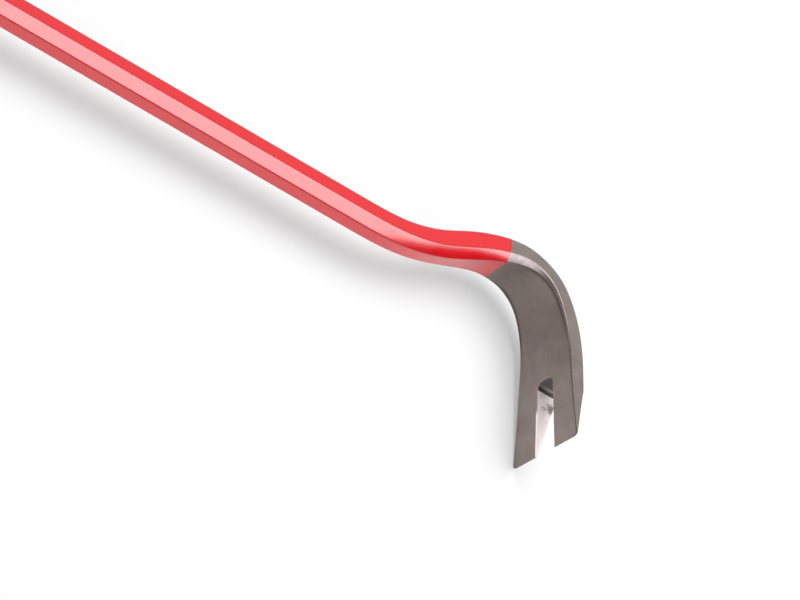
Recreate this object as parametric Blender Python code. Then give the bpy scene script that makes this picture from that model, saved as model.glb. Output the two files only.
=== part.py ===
"""Octagonal wrecking bar: one steel forging with a film of enamel on its shank and neck.

The bar lies on its side. +X runs along the shank towards the claw, the hook curls towards -Y, and +Z is
square to the plane that the bar is bent in. The parent empty puts the bottom centre of the forging's
bounding box at the world's origin. Sizes are in metres and angles in degrees.

The bar is drawn along its inner face, the face on the inside of the hook. Distances along that face are
counted from where the straight shank ends and the neck begins: the claw lies at positive distances and
the shank and the chisel end at negative ones.
"""

import math
from collections import namedtuple

import bmesh
import bpy
from mathutils import Matrix, Vector

# Stock and overall sizes
ACROSS_FLATS = 0.018
CORNER_RADIUS = 0.0018
STRAIGHT_LENGTH = 0.3676

# Neck and hook, along the inner face. Each bend is eased in and out over its own length. The hook is one
# long sweep from the end of the neck, with the tighter heel inside it
NECK_LENGTH = 0.086
NECK_ANGLE = 23.0
CREST_LENGTH = 0.031
HEEL_LENGTH = 0.031
HEEL_ANGLE = 42.0
SWEEP_LENGTH = 0.097
SWEEP_ANGLE = 70.0

# Claw, from the end of the heel to the tip
CLAW_LENGTH = 0.0837
WEDGE_ANGLE = 18.0
TIP_THICKNESS = 0.0006
TIP_CORNER_RADIUS = 0.0025
SLOT_LENGTH = 0.0453
SLOT_ROOT_WIDTH = 0.0105
SLOT_MOUTH_WIDTH = 0.0127
SLOT_CORNER_RADIUS = 0.004
SLOT_EDGE_BEVEL = 0.0007

# Chisel end
CHISEL_LENGTH = 0.078
CHISEL_CANT_LENGTH = 0.06
CHISEL_CANT_ANGLE = 12.0
CHISEL_WIDTH = 0.028
CHISEL_TIP_THICKNESS = 0.0012
CHISEL_CORNER_RADIUS = 0.002

# Enamel film. Its gap keeps two touching solids apart
PAINT_GAP = 0.0003
PAINT_THICKNESS = 0.00025
PAINT_PAST_NECK = 0.0228  # along X from the end of the neck, on the bar's mid-plane
PAINT_LINE_SLANT = 8.0
BARE_CHISEL_LENGTH = 0.045

# How fine the surface is
CORNER_SEGMENTS = 2
BEND_STEP = 0.004
WEDGE_STEP = 0.006
INTEGRATION_STEP = 0.0005
ROUND_END_SHARES = (0.0, 0.134, 0.5)  # rings across a rounded end, as shares of its corner radius
SLOT_ARC_STEPS = 6
SIDE_SHARE = 0.45  # the most of a side that one corner's arc may take
CUT_MARGIN = 0.002
CUT_TOLERANCE = 1e-6

OCTAGON_LEG = 1 - 1 / math.sqrt(2)  # chamfer leg of a regular octagon, as a share of its width

HEEL_START = NECK_LENGTH + CREST_LENGTH
HEEL_END = HEEL_START + HEEL_LENGTH
CLAW_REACH = HEEL_END + CLAW_LENGTH

# How the smith spreads and draws down the stock past the straight shank. Each row is a distance, the width
# added to the stock, and shares: of its thickness, of its inner chamfers, of the depth of its outer
# chamfers, and of its corner radius. On the neck the sides are hammered flat, so the outer chamfers are
# shallow there
Forging = namedtuple("Forging", "distance spread thickness inner outer radius")
FORGING = (
    Forging(NECK_LENGTH * 0.12, 0.0000, 1.00, 1.00, 1.00, 1.00),
    Forging(NECK_LENGTH * 0.42, 0.0000, 0.955, 1.00, 0.93, 1.00),
    Forging(NECK_LENGTH * 0.70, 0.0000, 0.91, 0.98, 0.68, 1.00),
    Forging(NECK_LENGTH, 0.0025, 0.90, 0.87, 0.535, 0.90),
    Forging(NECK_LENGTH + CREST_LENGTH / 2, 0.0053, 0.855, 0.76, 0.62, 0.75),
    Forging(HEEL_START, 0.0096, 0.78, 0.61, 0.755, 0.55),
    Forging(HEEL_START + HEEL_LENGTH / 2, 0.0129, 0.675, 0.44, 1.00, 0.48),
    Forging(HEEL_END, 0.0153, 0.69, 0.28, 1.00, 0.42),
    Forging(HEEL_END + CLAW_LENGTH * 0.35, 0.0193, 0.72, 0.09, 1.00, 0.30),
    Forging(HEEL_END + CLAW_LENGTH * 0.66, 0.0229, 0.65, 0.04, 1.00, 0.20),
    Forging(CLAW_REACH, 0.0288, 0.61, 0.04, 1.00, 0.15),
)

Section = namedtuple("Section", "width thickness inner_leg outer_leg outer_depth radius")


def ease(value):
    """Smooth step from 0 to 1."""
    t = min(max(value, 0.0), 1.0)
    return t * t * (3 - 2 * t)


def smooth_through(points, x):
    """The height at x of a smooth curve through points, level beyond its ends and without overshoot."""
    if x <= points[0][0]:
        return points[0][1]
    if x >= points[-1][0]:
        return points[-1][1]
    runs = [b[0] - a[0] for a, b in zip(points, points[1:])]
    rates = [(b[1] - a[1]) / run for a, b, run in zip(points, points[1:], runs)]
    i = max(k for k in range(len(runs)) if points[k][0] <= x)

    def slope(k):
        if k == 0 or k == len(runs):
            return 0.0 if k == 0 else rates[-1]
        before, after = rates[k - 1], rates[k]
        return 0.0 if before * after <= 0 else 2 * before * after / (before + after)

    t = (x - points[i][0]) / runs[i]
    rise = points[i + 1][1] - points[i][1]
    lead, trail = slope(i) * runs[i], slope(i + 1) * runs[i]
    return points[i][1] + lead * t * (1 - t) ** 2 + rise * ease(t) - trail * t * t * (1 - t)


def forged(column, distance):
    return smooth_through([(row.distance, getattr(row, column)) for row in FORGING], distance)


# The inner face's route


def chisel_tip():
    return -(STRAIGHT_LENGTH + CHISEL_LENGTH)


def heading(distance):
    """Direction of the inner face at a distance, in radians from +X."""
    cant_start = -(STRAIGHT_LENGTH + CHISEL_CANT_LENGTH)
    angle = -CHISEL_CANT_ANGLE * (1 - ease((distance - cant_start) / CHISEL_CANT_LENGTH))
    angle += NECK_ANGLE * ease(distance / NECK_LENGTH)
    angle -= SWEEP_ANGLE * ease((distance - NECK_LENGTH) / SWEEP_LENGTH)
    angle -= HEEL_ANGLE * ease((distance - HEEL_START) / HEEL_LENGTH)
    return math.radians(angle)


def point_on_inner_face(distance):
    """Walk the inner face's mid-line from the end of the straight shank."""
    steps = max(1, math.ceil(abs(distance) / INTEGRATION_STEP))
    step = distance / steps
    x = y = 0.0
    for k in range(steps):
        angle = heading((k + 0.5) * step)
        x += step * math.cos(angle)
        y += step * math.sin(angle)
    return Vector((x, y, 0.0))


# The bar's section


def rounded_off(width, radius, from_end):
    """Width of an end whose corners are rounded in plan, at a distance from that end."""
    reach = min(radius, from_end)
    return width - 2 * (radius - math.sqrt(radius**2 - (radius - reach) ** 2))


def section_at(distance):
    width = ACROSS_FLATS + forged("spread", distance)
    thickness = ACROSS_FLATS * forged("thickness", distance)
    inner_leg = ACROSS_FLATS * OCTAGON_LEG * forged("inner", distance)
    radius = CORNER_RADIUS * forged("radius", distance)

    to_tip = CLAW_REACH - distance
    wedge = TIP_THICKNESS + to_tip * math.tan(math.radians(WEDGE_ANGLE))
    thickness = min(thickness, wedge)
    width = rounded_off(width, TIP_CORNER_RADIUS, to_tip)

    from_chisel = distance - chisel_tip()
    if from_chisel < CHISEL_LENGTH:
        share = from_chisel / CHISEL_LENGTH
        width = CHISEL_WIDTH + (ACROSS_FLATS - CHISEL_WIDTH) * ease(share)
        width = rounded_off(width, CHISEL_CORNER_RADIUS, from_chisel)
        thickness = CHISEL_TIP_THICKNESS + (ACROSS_FLATS - CHISEL_TIP_THICKNESS) * share

    outer_leg = OCTAGON_LEG * thickness
    outer_depth = outer_leg * forged("outer", distance)
    return Section(width, thickness, min(inner_leg, outer_leg), outer_leg, outer_depth, radius)


def grown(section, gap):
    """The same section with every side moved out by gap."""

    def longer(leg, other):
        return leg + gap * (1 - (math.hypot(leg, other) - leg) / other)

    return Section(
        section.width + 2 * gap,
        section.thickness + 2 * gap,
        longer(section.inner_leg, section.inner_leg),
        longer(section.outer_leg, section.outer_depth),
        longer(section.outer_depth, section.outer_leg),
        section.radius + gap,
    )


def rounded_corner(before, corner, after, radius, segments):
    """Points of the arc that rounds one corner, which a short side may limit."""
    into, out = corner - before, after - corner
    turn = into.angle(out)
    reach = min(radius * math.tan(turn / 2), SIDE_SHARE * into.length, SIDE_SHARE * out.length)
    start, end = corner - into.normalized() * reach, corner + out.normalized() * reach
    bow = reach * math.tan(turn / 4)
    points = []
    for k in range(segments + 1):
        t = k / segments
        chord = start.lerp(end, t)
        towards = (corner - start.lerp(end, 0.5)).normalized()
        points.append(chord + towards * bow * 4 * t * (1 - t))
    return points


def section_outline(section, gap=0.0):
    """Rounded octagon as pairs: across the bar, and in from the inner face."""
    s = grown(section, gap)
    half, deep = s.width / 2, s.thickness
    right = (
        Vector((half - s.inner_leg, 0)),
        Vector((half, s.inner_leg)),
        Vector((half, deep - s.outer_depth)),
        Vector((half - s.outer_leg, deep)),
    )
    left = [Vector((-p.x, p.y)) for p in reversed(right)]
    corners = list(right) + left
    points = []
    for k, corner in enumerate(corners):
        after = corners[(k + 1) % len(corners)]
        points += rounded_corner(corners[k - 1], corner, after, s.radius, CORNER_SEGMENTS)
    return [Vector((p.x, p.y - gap)) for p in points]


def ring_at(distance, gap=0.0):
    """The section's outline in space, square to the inner face."""
    angle = heading(distance)
    inward = Vector((-math.sin(angle), math.cos(angle), 0))
    across = Vector((0, 0, 1))
    base = point_on_inner_face(distance)
    outline = section_outline(section_at(distance), gap)
    return [base + across * p.x + inward * p.y for p in outline]


# Meshes


def extruded_through(bm, rings, closed_ends):
    """Start with the first ring and extrude its edges through the others."""
    index = bm.verts.layers.int.new("ring_index")
    first = [bm.verts.new(p) for p in rings[0]]
    for k, vert in enumerate(first):
        vert[index] = k
    edges = [bm.edges.new((a, b)) for a, b in zip(first, first[1:] + first[:1])]
    ends = [edges]
    for ring in rings[1:]:
        made = bmesh.ops.extrude_edge_only(bm, edges=edges)["geom"]
        for vert in (g for g in made if isinstance(g, bmesh.types.BMVert)):
            vert.co = ring[vert[index]]
        new_verts = {g for g in made if isinstance(g, bmesh.types.BMVert)}
        edges = [
            g
            for g in made
            if isinstance(g, bmesh.types.BMEdge) and all(v in new_verts for v in g.verts)
        ]
    ends.append(edges)
    if closed_ends:
        for end in ends:
            bmesh.ops.contextual_create(bm, geom=end)
    bmesh.ops.recalc_face_normals(bm, faces=bm.faces)


def mesh_object(name, bm, material, parent, sharp_angle=30.0):
    mesh = bpy.data.meshes.new(name)
    bm.to_mesh(mesh)
    bm.free()
    mesh.shade_smooth()
    mesh.set_sharp_from_angle(angle=math.radians(sharp_angle))
    mesh.materials.append(material)
    obj = bpy.data.objects.new(name, mesh)
    obj.parent = parent
    bpy.context.scene.collection.objects.link(obj)
    return obj


def stations():
    """Distances of the forging's rings: close together where it bends or tapers."""

    def spread(start, end, step):
        count = max(1, round((end - start) / step))
        return [start + (end - start) * k / count for k in range(count)]

    thickness_at_wedge = ACROSS_FLATS * forged("thickness", CLAW_REACH)
    wedge_length = (thickness_at_wedge - TIP_THICKNESS) / math.tan(math.radians(WEDGE_ANGLE))
    wedge_start = CLAW_REACH - wedge_length
    tip, chisel = CLAW_REACH, chisel_tip()
    distances = [chisel + CHISEL_CORNER_RADIUS * share for share in ROUND_END_SHARES]
    distances += spread(chisel + CHISEL_CORNER_RADIUS, -STRAIGHT_LENGTH, 2 * BEND_STEP)
    distances += spread(-STRAIGHT_LENGTH, 0, STRAIGHT_LENGTH / 4)
    distances += spread(0, wedge_start, BEND_STEP)
    distances += spread(wedge_start, tip - TIP_CORNER_RADIUS, WEDGE_STEP)
    distances += [tip - TIP_CORNER_RADIUS]
    distances += [tip - TIP_CORNER_RADIUS * share for share in reversed(ROUND_END_SHARES)]
    return distances


def forged_bar(material, parent):
    bm = bmesh.new()
    extruded_through(bm, [ring_at(d) for d in stations()], closed_ends=True)
    bar = mesh_object("forged_bar", bm, material, parent)
    cut = bar.modifiers.new("nail slot", "BOOLEAN")
    cut.operation = "DIFFERENCE"
    cut.solver = "EXACT"
    cut.object = slot_cutter(material, parent)
    return bar


def slot_outline(grow):
    """Slot in the claw's plane as pairs: across the claw, and back from its tip."""
    corner = SLOT_CORNER_RADIUS + grow
    root = SLOT_LENGTH + grow
    lean = (SLOT_MOUTH_WIDTH - SLOT_ROOT_WIDTH) / 2 / SLOT_LENGTH
    front = -CUT_MARGIN
    half_root = SLOT_ROOT_WIDTH / 2 + grow
    half_front = SLOT_MOUTH_WIDTH / 2 - lean * front + grow
    quarter = [math.pi / 2 * k / SLOT_ARC_STEPS for k in range(SLOT_ARC_STEPS + 1)]
    right = [Vector((half_front, front))]
    for angle in quarter:
        across = half_root - corner * (1 - math.cos(angle))
        right.append(Vector((across, root - corner * (1 - math.sin(angle)))))
    return right + [Vector((-p.x, p.y)) for p in reversed(right)]


def slot_cutter(material, parent):
    """A prism the shape of the slot. It flares where it leaves the inner face and so bevels that edge."""
    angle = heading(CLAW_REACH)
    along = Vector((math.cos(angle), math.sin(angle), 0))
    inward = Vector((-math.sin(angle), math.cos(angle), 0))
    tip = point_on_inner_face(CLAW_REACH)
    beyond = ACROSS_FLATS + CUT_MARGIN
    layers = (
        (-CUT_MARGIN, SLOT_EDGE_BEVEL + CUT_MARGIN),
        (SLOT_EDGE_BEVEL, 0.0),
        (beyond, 0.0),
    )
    rings = [
        [tip + Vector((0, 0, p.x)) - along * p.y + inward * depth for p in slot_outline(grow)]
        for depth, grow in layers
    ]
    bm = bmesh.new()
    extruded_through(bm, rings, closed_ends=True)
    cutter = mesh_object("slot_cutter", bm, material, parent)
    cutter.hide_render = True
    cutter.display_type = "WIRE"
    return cutter


def paint_coat(material, parent):
    """A skin over the bar, cut off square to the shank at the neck and given the film's thickness."""
    first = chisel_tip() + BARE_CHISEL_LENGTH
    beyond = NECK_LENGTH + PAINT_PAST_NECK + ACROSS_FLATS
    line = point_on_inner_face(NECK_LENGTH) + Vector((PAINT_PAST_NECK, 0, 0))
    distances = [first] + [d for d in stations() if first + BEND_STEP / 2 < d < beyond] + [beyond]
    bm = bmesh.new()
    extruded_through(bm, [ring_at(d, PAINT_GAP) for d in distances], closed_ends=False)
    slant = math.radians(PAINT_LINE_SLANT)
    bmesh.ops.bisect_plane(
        bm,
        geom=bm.verts[:] + bm.edges[:] + bm.faces[:],
        dist=CUT_TOLERANCE,
        plane_co=line,
        plane_no=Vector((math.cos(slant), 0, math.sin(slant))),
        clear_outer=True,
    )
    coat = mesh_object("paint_coat", bm, material, parent)
    film = coat.modifiers.new("film", "SOLIDIFY")
    film.thickness = PAINT_THICKNESS
    film.offset = 1.0
    film.use_even_offset = True
    film.use_quality_normals = True
    return coat


def surface(name, colour, metallic, roughness, coat=0.0):
    material = bpy.data.materials.new(name)
    material.use_nodes = True
    shader = material.node_tree.nodes["Principled BSDF"]
    shader.inputs["Base Color"].default_value = (*colour, 1)
    shader.inputs["Metallic"].default_value = metallic
    shader.inputs["Roughness"].default_value = roughness
    shader.inputs["Coat Weight"].default_value = coat
    return material


def main():
    for obj in list(bpy.data.objects):
        bpy.data.objects.remove(obj, do_unlink=True)
    steel = surface("bare_steel", (0.36, 0.32, 0.31), 1.0, 0.42)
    enamel = surface("red_enamel", (0.72, 0.012, 0.022), 0.0, 0.28, coat=0.6)

    bar_empty = bpy.data.objects.new("wrecking_bar", None)
    bpy.context.scene.collection.objects.link(bar_empty)
    bar = forged_bar(steel, bar_empty)
    paint_coat(enamel, bar_empty)

    points = [v.co for v in bar.data.vertices]
    low = Vector(min(p[k] for p in points) for k in range(3))
    high = Vector(max(p[k] for p in points) for k in range(3))
    bar_empty.matrix_world = Matrix.Translation((-(low.x + high.x) / 2, -(low.y + high.y) / 2, -low.z))
    bpy.context.view_layer.update()


main()
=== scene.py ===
# %% [markdown]
# # An octagonal wrecking bar
# The real tool is a single steel forging. A length of eight-sided bar is bent at the neck, drawn down and
# spread into a hooked claw, and slotted to take a nail. The other end is drawn out to a chisel. Red enamel
# covers the shank and the neck, and both working ends are left as bare steel. So there are two pieces to
# make: the forging, and the film of enamel on it. Nothing on the tool moves.
#
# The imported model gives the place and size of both. It is plain, with coarse rounded corners, so this
# lesson makes a finer surface for each piece on the same design, and then spends its time on finishes.

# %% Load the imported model
import math
from collections import namedtuple

import bmesh
import bpy
from mathutils import Matrix, Vector
from mathutils.bvhtree import BVHTree


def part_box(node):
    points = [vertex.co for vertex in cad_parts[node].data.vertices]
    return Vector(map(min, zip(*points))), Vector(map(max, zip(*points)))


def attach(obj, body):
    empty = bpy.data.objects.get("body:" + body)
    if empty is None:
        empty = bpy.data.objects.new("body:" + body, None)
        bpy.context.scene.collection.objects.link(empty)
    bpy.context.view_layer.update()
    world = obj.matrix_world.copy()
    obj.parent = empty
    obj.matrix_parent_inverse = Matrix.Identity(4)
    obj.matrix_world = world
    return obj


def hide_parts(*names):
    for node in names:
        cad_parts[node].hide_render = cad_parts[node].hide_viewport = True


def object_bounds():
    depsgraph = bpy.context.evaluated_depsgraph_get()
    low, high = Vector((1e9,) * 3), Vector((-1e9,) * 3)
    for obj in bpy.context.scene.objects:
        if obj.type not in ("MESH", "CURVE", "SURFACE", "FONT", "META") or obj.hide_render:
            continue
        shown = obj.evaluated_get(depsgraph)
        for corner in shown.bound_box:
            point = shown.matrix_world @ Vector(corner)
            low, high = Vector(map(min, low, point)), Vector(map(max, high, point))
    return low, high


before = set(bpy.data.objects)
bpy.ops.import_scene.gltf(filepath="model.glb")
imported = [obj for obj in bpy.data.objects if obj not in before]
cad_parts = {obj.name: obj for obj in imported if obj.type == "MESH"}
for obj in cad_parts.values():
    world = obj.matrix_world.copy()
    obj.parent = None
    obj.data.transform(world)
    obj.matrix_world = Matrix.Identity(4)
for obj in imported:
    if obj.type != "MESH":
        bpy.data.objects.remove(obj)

cad_low, cad_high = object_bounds()
print("packed model, mm:", [round(1000 * (b - a), 1) for a, b in zip(cad_low, cad_high)])

# %% [markdown]
# ## The route that the bar follows
# Everything on the forging is placed by a distance along its inner face, the face on the inside of the
# hook. Distance 0 is where the straight shank ends. The claw lies at positive distances, and the shank and
# the chisel at negative ones. One could draw a curve by hand and let it carry a profile, but the bends
# would then be guesses. A heading that eases from one angle to the next bends the way hot steel does,
# without kinks, and every bend keeps a name and a number.

# %% Bends and lengths, in metres and degrees
STRAIGHT_LENGTH = 0.3676
NECK_LENGTH, NECK_ANGLE = 0.086, 23.0
CREST_LENGTH = 0.031
HEEL_LENGTH, HEEL_ANGLE = 0.031, 42.0
SWEEP_LENGTH, SWEEP_ANGLE = 0.097, 70.0
CLAW_LENGTH = 0.0837
CHISEL_LENGTH, CHISEL_CANT_LENGTH, CHISEL_CANT_ANGLE = 0.078, 0.060, 12.0
WALK_STEP = 0.0005

HEEL_START = NECK_LENGTH + CREST_LENGTH
HEEL_END = HEEL_START + HEEL_LENGTH
CLAW_TIP = HEEL_END + CLAW_LENGTH
CHISEL_TIP = -(STRAIGHT_LENGTH + CHISEL_LENGTH)


def ease(value):
    """Smooth step from 0 to 1."""
    t = min(max(value, 0.0), 1.0)
    return t * t * (3 - 2 * t)


def heading(distance):
    """Direction of the inner face in radians, turned up from +X."""
    cant_start = -(STRAIGHT_LENGTH + CHISEL_CANT_LENGTH)
    angle = -CHISEL_CANT_ANGLE * (1 - ease((distance - cant_start) / CHISEL_CANT_LENGTH))
    angle += NECK_ANGLE * ease(distance / NECK_LENGTH)
    angle -= SWEEP_ANGLE * ease((distance - NECK_LENGTH) / SWEEP_LENGTH)
    angle -= HEEL_ANGLE * ease((distance - HEEL_START) / HEEL_LENGTH)
    return math.radians(angle)


def walk(distance):
    """Point of the inner face's mid-line, reached in short steps from the end of the straight shank."""
    steps = max(1, math.ceil(abs(distance) / WALK_STEP))
    step = distance / steps
    point = Vector((0, 0, 0))
    for k in range(steps):
        angle = heading((k + 0.5) * step)
        point += Vector((math.cos(angle), math.sin(angle), 0)) * step
    return point


print("the hook turns", round(math.degrees(heading(NECK_LENGTH) - heading(CLAW_TIP))), "degrees")

# %% [markdown]
# ## What the smith does to the stock
# The stock is 18 mm across its flats. Along the claw it gets wider and thinner, and its inner chamfers die
# away. A table says how much at a few places, and a smooth curve runs through each column. A
# subdivision surface over a rough cage would round the crisp chamfers away, and a table keeps them exact.

# %% Stock and forging table
ACROSS_FLATS = 0.018
CORNER_RADIUS = 0.0018
OCTAGON_LEG = 1 - 1 / math.sqrt(2)
WEDGE_SLOPE = math.tan(math.radians(18.0))
TIP_THICKNESS, TIP_CORNER_RADIUS = 0.0006, 0.0025
CHISEL_WIDTH, CHISEL_TIP_THICKNESS, CHISEL_CORNER_RADIUS = 0.028, 0.0012, 0.002

# distance, width added, then shares: of thickness, inner chamfers, outer chamfers' depth, corner radius
Forging = namedtuple("Forging", "distance spread thickness inner outer radius")
FORGING = (
    Forging(NECK_LENGTH * 0.12, 0.0000, 1.00, 1.00, 1.00, 1.00),
    Forging(NECK_LENGTH * 0.42, 0.0000, 0.955, 1.00, 0.93, 1.00),
    Forging(NECK_LENGTH * 0.70, 0.0000, 0.91, 0.98, 0.68, 1.00),
    Forging(NECK_LENGTH, 0.0025, 0.90, 0.87, 0.535, 0.90),
    Forging(NECK_LENGTH + CREST_LENGTH / 2, 0.0053, 0.855, 0.76, 0.62, 0.75),
    Forging(HEEL_START, 0.0096, 0.78, 0.61, 0.755, 0.55),
    Forging(HEEL_START + HEEL_LENGTH / 2, 0.0129, 0.675, 0.44, 1.00, 0.48),
    Forging(HEEL_END, 0.0153, 0.69, 0.28, 1.00, 0.42),
    Forging(HEEL_END + CLAW_LENGTH * 0.35, 0.0193, 0.72, 0.09, 1.00, 0.30),
    Forging(HEEL_END + CLAW_LENGTH * 0.66, 0.0229, 0.65, 0.04, 1.00, 0.20),
    Forging(CLAW_TIP, 0.0288, 0.61, 0.04, 1.00, 0.15),
)


def smooth_through(points, x):
    """The height at x of a smooth curve through points, level beyond its ends and without overshoot."""
    if x <= points[0][0]:
        return points[0][1]
    if x >= points[-1][0]:
        return points[-1][1]
    runs = [b[0] - a[0] for a, b in zip(points, points[1:])]
    rates = [(b[1] - a[1]) / run for a, b, run in zip(points, points[1:], runs)]
    i = max(k for k in range(len(runs)) if points[k][0] <= x)

    def slope(k):
        if k == 0 or k == len(runs):
            return 0.0 if k == 0 else rates[-1]
        before, after = rates[k - 1], rates[k]
        return 0.0 if before * after <= 0 else 2 * before * after / (before + after)

    t = (x - points[i][0]) / runs[i]
    rise = points[i + 1][1] - points[i][1]
    lead, trail = slope(i) * runs[i], slope(i + 1) * runs[i]
    return points[i][1] + lead * t * (1 - t) ** 2 + rise * ease(t) - trail * t * t * (1 - t)


def forged(column, distance):
    return smooth_through([(row.distance, getattr(row, column)) for row in FORGING], distance)


print("width at the claw's tip, mm:", round(1000 * (ACROSS_FLATS + forged("spread", CLAW_TIP)), 1))

# %% [markdown]
# ## The bar's section
# Each section is an octagon with rounded corners. A corner gets a small arc, and beside each arc lies one
# supporting point, so that smooth shading stays on the arc and the flats stay flat. Three more points lie
# along each flat. The hammer leaves the chamfers on the inside of the neck very slightly crowned, which
# keeps their highlight narrow and close to the corner. The section also knows how far each of its points is
# from the nearest corner: the finishes need that to wear the edges.

# %% Section outline
ARC_SEGMENTS = 4
SUPPORT_REACH = 0.0004
TINY = 1e-9
FLAT_SHARES = (0.25, 0.5, 0.75)
POINTS_PER_SIDE = ARC_SEGMENTS + 1 + 2 + len(FLAT_SHARES)
CROWN = 0.00012
CROWN_RISE, CROWN_FALL = (0.012, 0.040), (0.115, 0.140)
Section = namedtuple("Section", "width thickness inner_leg outer_leg outer_depth radius crown")
Outline = namedtuple("Outline", "points around reach across")
INNER_CHAMFERS = (2, 4)
LONGEST_REACH = 0.45
SUPPORT_LIMIT = 0.2


def rounded_off(width, radius, from_end):
    """Width of an end whose corners are rounded in plan, at a distance from that end."""
    reach = min(radius, from_end)
    return width - 2 * (radius - math.sqrt(radius**2 - (radius - reach) ** 2))


def section_at(distance, film=0.0):
    """The section's sizes at a distance. A film moves every side out by its thickness."""
    width = ACROSS_FLATS + forged("spread", distance)
    to_tip = CLAW_TIP - distance
    thickness = min(ACROSS_FLATS * forged("thickness", distance), TIP_THICKNESS + to_tip * WEDGE_SLOPE)
    width = rounded_off(width, TIP_CORNER_RADIUS, to_tip)
    inner_leg = ACROSS_FLATS * OCTAGON_LEG * forged("inner", distance)
    radius = CORNER_RADIUS * forged("radius", distance)
    from_chisel = distance - CHISEL_TIP
    if from_chisel < CHISEL_LENGTH:
        share = from_chisel / CHISEL_LENGTH
        width = CHISEL_WIDTH + (ACROSS_FLATS - CHISEL_WIDTH) * ease(share)
        width = rounded_off(width, CHISEL_CORNER_RADIUS, from_chisel)
        thickness = CHISEL_TIP_THICKNESS + (ACROSS_FLATS - CHISEL_TIP_THICKNESS) * share
    outer_leg = OCTAGON_LEG * thickness
    outer_depth = outer_leg * forged("outer", distance)
    inner_leg = min(inner_leg, outer_leg)

    def longer(leg, other):
        return leg + film * (1 - (math.hypot(leg, other) - leg) / other)

    rise = ease((distance - CROWN_RISE[0]) / (CROWN_RISE[1] - CROWN_RISE[0]))
    fall = ease((distance - CROWN_FALL[0]) / (CROWN_FALL[1] - CROWN_FALL[0]))
    return Section(
        width + 2 * film,
        thickness + 2 * film,
        longer(inner_leg, inner_leg),
        longer(outer_leg, outer_depth),
        longer(outer_depth, outer_leg),
        radius + film,
        CROWN * rise * (1 - fall),
    )


def corner_arc(before, corner, after, radius):
    """Points of the arc that rounds one corner, which a short side may limit."""
    into, out = corner - before, after - corner
    turn = into.angle(out)
    reach = min(radius * math.tan(turn / 2), LONGEST_REACH * into.length, LONGEST_REACH * out.length)
    start, end = corner - into.normalized() * reach, corner + out.normalized() * reach
    towards = (corner - start.lerp(end, 0.5)).normalized()
    bow = reach * math.tan(turn / 4)
    shares = [k / ARC_SEGMENTS for k in range(ARC_SEGMENTS + 1)]
    return [start.lerp(end, t) + towards * bow * 4 * t * (1 - t) for t in shares]


def outline_of(section, film=0.0):
    """The outline as pairs: across the bar, and in from the inner face. It starts beside the outer face."""
    half, deep = section.width / 2, section.thickness
    left = [
        Vector((-half + section.outer_leg, deep)),
        Vector((-half, deep - section.outer_depth)),
        Vector((-half, section.inner_leg)),
        Vector((-half + section.inner_leg, 0)),
    ]
    corners = left + [Vector((-p.x, p.y)) for p in reversed(left)]
    count = len(corners)
    corners_after = corners[1:] + corners[:1]
    arcs = [corner_arc(corners[k - 1], corners[k], corners_after[k], section.radius) for k in range(count)]
    points = []
    for k, arc in enumerate(arcs):
        flat_start, flat_end = arc[-1], arcs[(k + 1) % count][0]
        flat = flat_end - flat_start
        support = min(SUPPORT_REACH / max(flat.length, TINY), SUPPORT_LIMIT)
        outward = Vector((flat.y, -flat.x)).normalized()
        crown = section.crown if k in INNER_CHAMFERS else 0.0
        points += arc
        for t in (support, *FLAT_SHARES, 1 - support):
            points.append(flat_start.lerp(flat_end, t) + outward * crown * 4 * t * (1 - t))
    around = [0.0]
    for a, b in zip(points, points[1:] + points[:1]):
        around.append(around[-1] + (b - a).length)
    ridges = [around[k * POINTS_PER_SIDE + ARC_SEGMENTS // 2] for k in range(count)]
    ridges += [ridges[-1] - around[-1], ridges[0] + around[-1]]
    reach = [min(abs(a - ridge) for ridge in ridges) for a in around]
    across = [min(max(p.y / section.inner_leg, 0.0), 1.0) for p in points]
    return Outline([Vector((p.x, p.y - film)) for p in points], around, reach, across)


print("points in a section:", len(outline_of(section_at(0)).points))

# %% [markdown]
# ## A mesh drawn through its sections
# The first section's outline is laid down as a ring of edges, and the ring is extruded from one
# section to the next, as one would do with E in edit mode. Two UV maps are written while the rings are
# known. In **bar_skin** one axis runs along the bar and the other around it, both in metres, so grain can
# follow the bends. In **from_ridge** the first axis is the distance to the nearest corner, and the second
# runs from 0 to 1 across the inner chamfer: it is 0 on the inner face and 1 on the sides.

# %% Lofting and its UV maps
SKIN_UV, RIDGE_UV = "bar_skin", "from_ridge"


def ring_in_space(distance, film=0.0):
    """A section's outline in the bar's own frame, square to the inner face, with its UV values."""
    angle = heading(distance)
    inward = Vector((-math.sin(angle), math.cos(angle), 0))
    across = Vector((0, 0, 1))
    base = walk(distance)
    outline = outline_of(section_at(distance, film), film)
    return outline._replace(points=[base + across * p.x + inward * p.y for p in outline.points])


def extruded_through(rings, closed_ends):
    """A bmesh whose first ring is extruded to each ring in turn. Every vertex keeps its place and ring."""
    bm = bmesh.new()
    place = bm.verts.layers.int.new("place_in_ring")
    order = bm.verts.layers.int.new("ring_number")
    first = [bm.verts.new(p) for p in rings[0]]
    for k, vert in enumerate(first):
        vert[place] = k
    edges = [bm.edges.new((a, b)) for a, b in zip(first, first[1:] + first[:1])]
    ends = [edges]
    for number, ring in enumerate(rings[1:], start=1):
        made = bmesh.ops.extrude_edge_only(bm, edges=edges)["geom"]
        new_verts = {g for g in made if isinstance(g, bmesh.types.BMVert)}
        for vert in new_verts:
            vert.co = ring[vert[place]]
            vert[order] = number
        edges = [g for g in made if isinstance(g, bmesh.types.BMEdge) and set(g.verts) <= new_verts]
    ends.append(edges)
    if closed_ends:
        for end in ends:
            bmesh.ops.contextual_create(bm, geom=end)
    bmesh.ops.recalc_face_normals(bm, faces=bm.faces)
    return bm


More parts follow.
